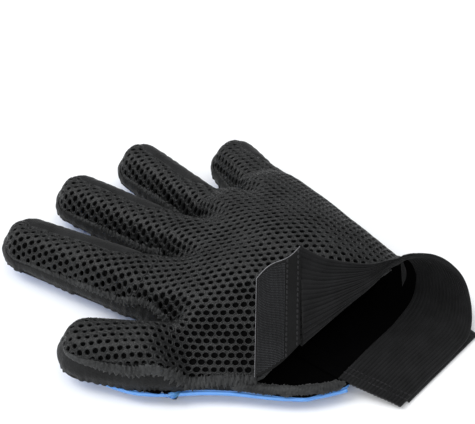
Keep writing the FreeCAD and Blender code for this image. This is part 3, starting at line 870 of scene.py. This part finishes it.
def ridges():
    """The seam allowances: gathered ridges on the sides towards the thumb, thin cords elsewhere."""
    counts = {}
    for body, first, last in spans():
        last = min(last + 1, len(OUTLINE))
        line = SEAM_LINE[first:last]
        near = smooth(INWARD[first:last] @ ACROSS_HAND, 0.1, 0.75)
        if body:
            finger = HAND[BODIES[body]]
            reach = finger.local(line)[:, 1] / finger.reach
            near = near * (1 - 0.65 * smooth(reach, 0.35, 0.9))
        low_seam = THUMB_EDGE[first:last] | (body == 1)
        line = line + (OUTLINE[first:last] - line) * 0.45 * (low_seam * near)[:, None]
        keep = back_edge(line) > 0.5
        data = np.column_stack([line, near, low_seam])[keep]
        if len(data) < 5:
            continue
        data = resample(data, RIDGE_STEP)
        near = data[:, 2]
        steps = np.arange(len(data)) * RIDGE_STEP
        phase = steps * 2 * math.pi / 2.4 + 1.5 * np.sin(steps * 0.37)
        row = 1.5 * np.sign(np.sin(2 * round_turns(RIDGE_SIDES) + 0.6))
        block = np.tanh(2.2 * np.sin(phase[:, None] + row[None]))
        rough = puckers(steps, 1.6, 1.1, 17 + body)
        radius = 0.45 + near * (1.5 + 0.5 * data[:, 3])
        ends = np.minimum(steps, steps[-1] - steps)
        if body > 1:
            radius = radius * (1 + 0.3 * near * (1 - smooth(ends, 3, 14)))
        radius = radius * (0.6 + 0.4 * smooth(ends, 0, 1.5))
        radius = radius[:, None] * (1 + near[:, None] * (0.24 * block + 0.42 * rough))
        path = lift(data[:, :2].copy(), 0.05 + 0.1 * near)
        label = numbered(counts, BODIES[body] + "_seam_ridge")
        normals = surface_normals(data[:, :2])
        obj = tube(label, path, radius, SEAM, RIDGE_SIDES, normals, 0.42)
        finish_piece(obj, BODIES[body])


def gathered_roll(name, path, radius, seed, squash=0.9):
    """A soft rolled edge with gathers, along a path in millimetres."""
    path = resample(path, ROLL_STEP)
    steps = np.arange(len(path)) * ROLL_STEP
    ends = np.minimum(steps, steps[-1] - steps)
    size = radius * (0.45 + 0.55 * smooth(ends, 0, 5.0))
    girth = size[:, None] * (1 + 0.34 * puckers(steps, 1.8, 1.3, seed))
    finish_piece(tube(name, path, girth, SEAM, RIDGE_SIDES, None, squash), "hand")


def hems():
    """The hem across the back along the cuff's fold, and the hem of the palm's open thumb edge."""
    run = np.arange(-30.0, 55.0, 1.0)[:, None]
    plan = FOLD[:2] + FOLD_RUN * run + DISTAL * (1.4 + fold_rise(run))
    plan = plan[sample(EDGE, plan) > 2.5]
    gathered_roll("fold_hem", lift(plan, np.full(len(plan), -0.8)), 1.1, 41, 0.8)
    edge = np.where(THUMB_EDGE & (wrist_side(OUTLINE) < 6))[0]
    spots = OUTLINE[edge] + INWARD[edge] * 1.3
    rise = FLOOR + 0.7 - 0.7 * smooth(np.arange(len(edge)), len(edge) * 0.6, len(edge))
    gathered_roll("open_edge_hem", np.column_stack([spots, rise]), 2.3, 42)


# ---- silicone pads, pins and linings
def ring_inward(ring):
    """Directions into a closed outline, square to it."""
    return quarter(unit_rows(np.roll(ring, -1, axis=0) - np.roll(ring, 1, axis=0)))


def ring_offset(ring, distance):
    """A closed outline moved in by a distance (out when negative)."""
    return ring + ring_inward(ring) * distance


def round_ring(ring, step, sigma):
    """A closed outline resampled and eased at its corners."""
    closed = resample(np.concatenate([ring, ring[:1]]), step)[:-1]
    half = int(4 * sigma)
    wide = np.concatenate([closed[-half:], closed, closed[:half]])
    return relax(wide, sigma)[half:-half]


def cap(points, z, first):
    """A flat cover over a plan ring whose corners may overlap: its points and its triangles."""
    ring = tuple(range(len(points)))
    found = delaunay_2d_cdt([Vector(p) for p in points], [], [ring], 1, 1e-5)
    verts = [(spot[0], spot[1], z) for spot in found[0]]
    return verts, [tuple(first + v for v in face) for face in found[2]]


def slab(name, ring, profile, material, proud=0.0):
    """A closed sheet: rings of (inset, height) round an outline, capped above and below. The whole
    edge stands further out by proud, which may differ round the outline."""
    verts = []
    base = ring_offset(ring, -np.broadcast_to(proud, len(ring))[:, None])
    for inset, z in profile:
        shifted = ring_offset(base, inset)
        verts.extend((x, y, z) for x, y in shifted)
    faces = grid_faces(len(profile), len(ring), True)
    for inset, z in (profile[0], profile[-1]):
        cover, triangles = cap(ring_offset(base, inset), z, len(verts))
        verts.extend(cover)
        faces.extend(triangles)
    return weld(make(name, verts, faces, material), 0.02)


def pin_places(name):
    """Centres of a CAD pad's pins, read from the tips' corners in its mesh."""
    mesh = frame["nodes"][name].data
    tips = ((round(v.co.x / MM, 2), round(v.co.y / MM, 2)) for v in mesh.vertices if v.co.z < 0.0001)
    left = np.array(list(dict.fromkeys(tips)))
    centres = []
    while len(left):
        close = np.linalg.norm(left - left[0], axis=1) < 2.4
        centres.append((left[close].max(0) + left[close].min(0)) / 2)
        left = left[~close]
    return np.array(centres)


def pins(name, centres, top):
    """Slightly tapered pins with rounded tips and a small fillet at the root."""
    sides = 12
    shape = ((1.75, top + 0.2), (1.28, top - 0.35), (1.08, top - 1.0),
             (0.95, 1.0), (0.82, 0.35), (0.45, 0.04))
    turns = round_turns(sides)
    verts, faces = [], []
    for x, y in centres:
        first = len(verts)
        for radius, z in shape:
            verts.extend((x + radius * math.cos(t), y + radius * math.sin(t), z) for t in turns)
        faces.extend(grid_faces(len(shape), sides, True, first))
        faces.append(tuple(range(len(verts) - sides, len(verts))))
    return make(name, verts, faces, PIN_BLUE)


def rim_place(points, inward):
    """How far the pad's rim stands out past the glove's outline: only along the thumb's outer side
    and the palm's edge below it."""
    thumb = HAND["thumb"]
    seen = smooth(inward @ np.array([0.93, 0.36]), 0.2, 0.8)
    return -2.0 + 3.1 * seen * (1 - smooth(points[:, 1], thumb.base[1] + 6, thumb.base[1] + 30))


def rims():
    """The rolled bead round each pad's edge, one length for each run of the outline."""
    counts = {}
    for body, first, last in spans():
        last = min(last + 2, len(OUTLINE))
        edge, inward = OUTLINE[first:last], INWARD[first:last]
        if len(edge) < 6:
            continue
        plan = relax(edge, 1.5) - inward * rim_place(edge, inward)[:, None]
        path = resample(np.column_stack([plan, np.full(len(plan), 6.1)]), 0.8)
        label = numbered(counts, BODIES[body] + "_pad_rim")
        bead = tube(label, path, np.full(len(path), 0.85), BLUE, 10, None, 1.05)
        finish_piece(bead, BODIES[body])


def pads():
    """Each silicone pad with its rolled rim and stitched channel, its pins and its lining."""
    low_z, high_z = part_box("palm_lining")
    pad_top, lining_top = low_z.z / MM, high_z.z / MM
    pad_low = 5.0
    profile = (
        (5.2, pad_top), (0.6, pad_top + 0.05), (0.0, pad_top - 0.5), (-0.2, pad_low + 0.8),
        (0.15, pad_low + 0.05), (0.8, pad_low - 0.25), (1.6, pad_low - 0.2),
        (2.1, pad_low + 0.25), (2.6, pad_low + 0.45), (3.1, pad_low + 0.2),
        (3.7, pad_low), (4.6, pad_low),
    )
    cloth_profile = (
        (3.0, lining_top), (0.5, lining_top + 0.15), (-0.15, lining_top - 0.3),
        (-0.1, pad_top + 0.35), (0.5, pad_top + 0.06), (3.0, pad_top + 0.06),
    )
    for name in BODIES:
        part = "palm" if name == "hand" else name
        ring = round_ring(node_outline(part + "_pad"), 1.2, 1.4)
        proud = rim_place(ring, ring_inward(ring)) + 0.2
        pad = slab(name + "_silicone", ring, profile, BLUE, proud)
        finish_piece(pad, name, [part + "_pad"])
        spikes = pins(name + "_pins", pin_places(part + "_pad"), pad_low)
        finish_piece(spikes, name)
        cut = node_outline(part + "_lining")
        # the lining sheet takes the near-black lining colour, which is painted shade inside the glove
        lining = slab(name + "_lining_sheet", round_ring(cut, 1.2, 1.2), cloth_profile, LINING_AND_SHADE)
        finish_piece(lining, name, [part + "_lining"])
        if name != "hand":
            cut = HAND[name].local(cut)


# ---- thread
def stitches(name, path, up, body, pitch=2.3, size=0.34):
    """A row of thread stitches along a path, each a small rounded bar pulled into the cloth."""
    path = resample(path, pitch)
    tangent = unit_rows(np.gradient(path, axis=0))
    up = unit_rows(np.broadcast_to(up, path.shape).copy())
    side = np.cross(tangent, up)
    bar = ((-0.36, 0.35, -0.25), (-0.22, 1.0, 0.7), (0.22, 1.0, 0.7), (0.36, 0.35, -0.25))
    verts, faces = [], []
    for p, t, n, b in zip(path, tangent, up, side):
        first = len(verts)
        for shift, wide, high in bar:
            spot, out, raised = p + t * shift * pitch, b * size * wide, n * size * high
            verts.extend([spot - out, spot + raised - out * 0.5, spot + raised + out * 0.5, spot + out])
        faces.extend(grid_faces(4, 4, True, first))
        faces.append((first + 3, first + 2, first + 1, first))
        faces.append((first + 12, first + 13, first + 14, first + 15))
    finish_piece(make(name, verts, faces, THREAD), body)


# ---- cuff
def spline(points, count):
    """A smooth curve through points, evenly spaced."""
    points = np.asarray(points, float)
    gaps = np.linalg.norm(np.diff(points, axis=0), axis=1) ** 0.5
    knots = np.concatenate([[0], np.cumsum(gaps)])
    at = np.linspace(0, knots[-1], 40 * len(points))
    slope = np.gradient(points, knots, axis=0)
    k = np.clip(np.searchsorted(knots, at, "right") - 1, 0, len(points) - 2)
    width = (knots[k + 1] - knots[k])[:, None]
    t = ((at - knots[k]) / width[:, 0])[:, None]
    here = (2 * t**3 - 3 * t**2 + 1) * points[k] + (t**3 - 2 * t**2 + t) * width * slope[k]
    after = (-2 * t**3 + 3 * t**2) * points[k + 1] + (t**3 - t**2) * width * slope[k + 1]
    return evenly(here + after, count)


LAPEL_OUT = unit(SEAM_AXIS - FOLD_AXIS * (SEAM_AXIS @ FOLD_AXIS))
LAPEL_NORMAL = np.cross(FOLD_AXIS, LAPEL_OUT)


def lapel_point(along, out, proud=0.0):
    """A point of the lapel's plane."""
    return FOLD + FOLD_AXIS * along + LAPEL_OUT * out + LAPEL_NORMAL * proud


# the elastic's outer edge, its inner edge, and the edge of the near-black lining, painted shade, that
# carries on inside the glove
RIM = [
    FRAME + [-22, -44, 2.2], FRAME + [-2, -48.5, 2.2], FRAME + [17, -53, 2.4], FRAME + [30, -55, 4.0],
    FRAME + [39.5, -51, 12], FRAME + [42, -44, 24], FRAME + [38.5, -36, 34.5], FRAME + [32, -28, 40.0],
    lapel_point(56.8, 11.2, 0.4), lapel_point(47, 14.3), lapel_point(38, 20, -0.4),
    lapel_point(29, 27.5, -0.2), lapel_point(22, 37, 0),
]
INNER = [
    FRAME + [-27, -15.5, 9.1], FRAME + [-5, -20, 10.2], FRAME + [14, -24, 10.6], FRAME + [32, -25, 12.0],
    FRAME + [41, -22, 17], FRAME + [41.3, -18.5, 23.5], FRAME + [36, -16.5, 30.0], FRAME + [27, -17, 34.5],
    lapel_point(53, 8.6, -1.4), lapel_point(42, 6.2, -2.0), lapel_point(28, 3.4, -2.4),
    lapel_point(14, 0.8, -2.4), lapel_point(1.5, -1.5, -1.8),
]
DEEP = [
    FRAME + [-24, 8, 8.9], FRAME + [-2, 2, 9.4], FRAME + [16, -4, 9.6], FRAME + [30, -7, 11],
    FRAME + [37, -6, 17], FRAME + [38, -2, 24], FRAME + [34, 0, 29], FRAME + [27, 0, 31],
]


def cap_height():
    """The glove's back kept under the turned-back lapel."""
    shift = np.column_stack([GRID, np.zeros(len(GRID))]) - FOLD
    plane = -(shift[:, :2] @ LAPEL_NORMAL[:2]) / LAPEL_NORMAL[2] + FOLD[2] - 2.4
    run = shift[:, :2] @ FOLD_RUN
    weight = smooth(run, -4, 2) * (1 - smooth(run, 54, 62)) * (wrist_side(GRID) > -3)
    over = np.clip(HEIGHT.ravel() - plane, 0, None) * weight
    return HEIGHT - over.reshape(NX, NY)


HEIGHT = cap_height()


def roof_point(point):
    """A point under the glove's back, further in than a point of the cuff's inner edge."""
    plan = point[:2] + [7.0, 12.5]
    return np.array([*plan, float(top_z(plan[None])[0]) - 3.5])


DEEP += [roof_point(point) for point in INNER[8:]]
RIBS = 18


def band():
    """The ribbed elastic: lower arm, curl round the little-finger side, and the turned-back lapel."""
    along, across = 210, 6 * RIBS + 1
    half = 0.45
    rim, inner = spline(RIM, along), spline(INNER, along)
    s = np.linspace(0, 1, along)
    t = np.linspace(0, 1, across)
    belly = smooth(s, 0.15, 0.45) * (1 - smooth(s, 0.55, 0.8))
    roll = smooth(s, 0.6, 0.8)
    sheet = rim[:, None] * (1 - t)[None, :, None] + inner[:, None] * t[None, :, None]
    outward = unit_rows(sheet - (FRAME + [14, -30, 20]))
    bulge = np.sin(math.pi * t)[None] * belly[:, None] * 2.5
    sheet += outward * bulge[:, :, None]
    lap = np.sin(math.pi * t ** 2.2)[None] * roll[:, None]
    sheet += LAPEL_NORMAL * (lap * 2.6)[:, :, None]
    normal = unit_rows(np.cross(np.gradient(sheet, axis=0), np.gradient(sheet, axis=1)))
    beat = 0.5 - 0.5 * np.cos(math.pi * RIBS * t)[None]
    rib = (0.52 * np.abs(np.sin(math.pi * RIBS * t)) ** 0.6)[None] + 0.30 * beat * roll[:, None]
    places = np.column_stack([np.repeat(s * 160, across), np.tile(t * 45, along)])
    wave = 0.25 * value_noise(places, 22, 21).reshape(along, across)
    front = sheet + normal * (half + rib + wave)[:, :, None]
    back = sheet - normal * (half + rib - wave)[:, :, None]
    verts = np.concatenate([front.reshape(-1, 3), back.reshape(-1, 3)])
    obj = weld(make("cuff_elastic", verts, two_sided(along, across), ELASTIC), 0.005)
    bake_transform(obj)
    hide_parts("cuff_band", "cuff_lapel")
    sleeve(inner, sheet[:, -3])
    for k, row in enumerate((5, 9)):
        stitches("cuff_end_stitch_%d" % (k + 1), front[row, 3:-2], normal[row, 60], "hand")


def sleeve(inner, lap):
    """The lining that carries on from the cuff's inner edge into the glove, coloured near black as painted
    shade of the glove's inside.
    """
    count, rows = len(inner), 14
    deep = spline(DEEP, count)
    t = np.linspace(0, 1, rows)[None, :, None]
    bend = inner + (inner - lap) * 2.0
    sheet = (1 - t) ** 2 * lap[:, None] + 2 * t * (1 - t) * bend[:, None] + t * t * deep[:, None]
    # a near-black sheet: painted shade inside the cuff, partly the real lining
    obj = make("cuff_sleeve_painted_shade", sheet.reshape(-1, 3), grid_faces(count, rows), LINING_AND_SHADE)
    finish_piece(obj, "hand")


# the hook tab: how far it stands out, how far its end leans back, its length along the seam, the spacing
# of its hooks across and along, and the share of its width that is left plain
TAB_REACH = 19.4
TAB_SHEAR = -15.0
TAB_RUN = 41.2
HOOK_STEP, HOOK_ROW = 0.56, 0.66
TAB_PLAIN = 0.36


def tab():
    """The stiff hook tab: a backing strip, hook tape with rows of tiny hooks, and pale selvedges."""
    across = np.array(sum(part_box("hook_tape"), Vector())) / 2 / MM - FOLD
    across = unit(across - SEAM_AXIS * (across @ SEAM_AXIS))
    normal = unit(np.cross(SEAM_AXIS, across))

    def at(v, w, up=0.0):
        """A point of the tab: v along the seam from 0 to 1, w from the seam outwards from 0 to 1."""
        bow = 1.6 * math.sin(math.pi * w) * (0.6 + 0.4 * v) - 1.2 * w * w
        sway = 1.3 * math.sin(2 * math.pi * w) * v + 2.2 * math.sin(math.pi * w) * (1 - v)
        spot = FOLD + SEAM_AXIS * (v * (TAB_RUN + 1.5) + w * TAB_SHEAR + 0.5 - sway)
        return spot + across * (w * TAB_REACH - 1.0) + normal * (bow + up)

    rows, cols = 46, 26
    verts = [at(v, w, side) for side in (0.9, -0.9)
             for v in np.arange(rows) / (rows - 1) for w in np.arange(cols) / (cols - 1)]
    plate = weld(make("hook_tab_plate", verts, two_sided(rows, cols), TAPE), 0.01)
    for k, w in enumerate((0.07, 0.31)):
        line = np.array([at(v, w, 0.95) for v in np.linspace(0.03, 0.97, 50)])
        stitches("hook_tab_stitch_%d" % (k + 1), line, normal, "tab")
    finish_piece(plate, "tab", ["tab_backing", "hook_tape"])
    hooks = finish_piece(hook_rows(at, across, normal), "tab")
    edge = [at(v, 0.995, 0.5) for v in np.linspace(0, 1, 60)]
    edge_top = [at(1.0, w, 0.5) for w in np.linspace(0.995, 0.03, 40)]
    border = resample(edge + edge_top, 0.35)
    beat = 0.26 + 0.12 * np.abs(np.sin(np.arange(len(border)) * 0.35 * math.pi / 1.1))
    trim = finish_piece(tube("hook_tab_selvedge", border, beat, SELVEDGE, 6), "tab")


def hook_rows(at, across, normal):
    """The tiny hooks of the tape, each a short leaning post with a bent tip."""
    lean = SEAM_AXIS * 0.22 - across * 0.14
    width, deep, high = SEAM_AXIS * 0.12, across * 0.13, normal * 0.5
    lines = int(TAB_REACH * 0.62 / HOOK_STEP)
    per = int((TAB_RUN - 2) / HOOK_ROW)
    verts, faces = [], []
    for i in range(per):
        for j in range(lines):
            w = TAB_PLAIN + 0.61 * (j + 0.5) / lines
            v = 0.03 + 0.94 * (i + (0.36 * j) % 1.0) / per
            base = at(v, w, 0.85)
            first = len(verts)
            for up, slide in ((0, 0), (0.75, 0.2), (1.0, 1.0)):
                spot = base + high * up + lean * slide
                verts.extend(spot + width * a + deep * b for a, b in ((-1, -1), (1, -1), (1, 1), (-1, 1)))
            faces.extend(grid_faces(3, 4, True, first))
            faces.append((first + 8, first + 9, first + 10, first + 11))
    return make("hook_tab_hooks", verts, faces, HOOK)


# the loop panel's direction across its run, towards the fingers and a little up
PANEL_SLOPE = unit([0.2146, 0.9645, 0.153])
PILE_DEPTH = 0.12


def loop_panel():
    """The loop panel under the lower arm, with its short dense pile."""
    spots = np.array([v.co for v in frame["nodes"]["loop_panel"].data.vertices]) / MM
    centre = spots.mean(0)
    axis = unit((RIM[2] - RIM[0]) * [1, 1, 0])
    normal = unit(np.cross(axis, PANEL_SLOPE))
    a, b, c = ((spots - centre) @ way for way in (axis, PANEL_SLOPE, normal))
    rows, cols = 60, 26
    plan = np.linspace(a.min(), a.max(), rows)[:, None, None] * axis
    plan = centre + plan + np.linspace(b.min(), b.max(), cols)[None, :, None] * PANEL_SLOPE
    verts = []
    for level, nap in ((c.max() - 0.05, PILE_DEPTH), (c.min() + 0.05, -0.2 * PILE_DEPTH)):
        rise = level + nap * rng.random((rows, cols))
        verts.extend((plan + rise[..., None] * normal).reshape(-1, 3))
    obj = weld(make("loop_panel_pile", verts, two_sided(rows, cols), PILE), 0.01)
    finish_piece(obj, "hand", ["loop_panel"])


net()
ground_layer()
gussets()
ridges()
hems()
rims()
pads()
band()
tab()
loop_panel()

# ---- stage, light and camera
FAR = 3000
corners = [(-FAR, -FAR, 0), (FAR, -FAR, 0), (FAR, FAR, 0), (-FAR, FAR, 0)]
paper = fabric("studio_paper", (0.86, 0.87, 0.88), 40, 0.0, 0.9, 0.0, 0.01)
make("studio_floor", corners, [(0, 1, 2, 3)], paper)


def soft_sun(name, source, strength, spread):
    """A broad, even light from a direction given by the point it comes from."""
    light = bpy.data.lights.new(name, "SUN")
    light.energy = strength
    light.angle = math.radians(spread)
    obj = bpy.data.objects.new(name, light)
    bpy.context.scene.collection.objects.link(obj)
    obj.rotation_euler = Vector(source).to_track_quat("Z", "Y").to_euler()


def studio():
    """Soft even light: a broad key over the fingertips, one from above, and a pale surround."""
    soft_sun("key_light", (-0.25, 0.62, 0.85), 1.75, 36)
    soft_sun("top_light", (0.15, 0.0, 1.0), 1.1, 60)
    soft_sun("fill_light", (-0.75, -0.1, 0.5), 1.3, 50)
    world = bpy.data.worlds.new("studio")
    world.use_nodes = True
    background = world.node_tree.nodes["Background"]
    background.inputs["Color"].default_value = (0.97, 0.98, 1.0, 1)
    seen = node(world, "LightPath", {}, {})["Is Camera Ray"]
    strength = node(world, "MapRange", {"To Min": 0.42, "To Max": 1.05}, {"Value": seen})["Result"]
    world.node_tree.links.new(strength, background.inputs["Strength"])
    bpy.context.scene.world = world
    bpy.context.scene.view_settings.view_transform = "Standard"


studio()

AZIMUTH, ELEVATION, DISTANCE = -60.0, 43.0, 0.560
FOCAL_PIXELS, IMAGE_WIDTH = 1120.0, 475.0
TARGET = Vector((0.03695, 0.020, 0.015))


def camera():
    """The camera: it looks over the thumb side of the glove from above the wrist."""
    a, e = math.radians(AZIMUTH), math.radians(ELEVATION)
    back = Vector((math.sin(a) * math.cos(e), -math.cos(a) * math.cos(e), math.sin(e)))
    data = bpy.data.cameras.new("camera")
    data.sensor_width = 36.0
    data.lens = FOCAL_PIXELS / IMAGE_WIDTH * data.sensor_width
    data.clip_start = 0.01
    obj = bpy.data.objects.new("camera", data)
    bpy.context.scene.collection.objects.link(obj)
    obj.location = TARGET + back * DISTANCE
    obj.rotation_euler = (-back).to_track_quat("-Z", "Y").to_euler()
    bpy.context.scene.camera = obj


camera()
bpy.context.view_layer.update()
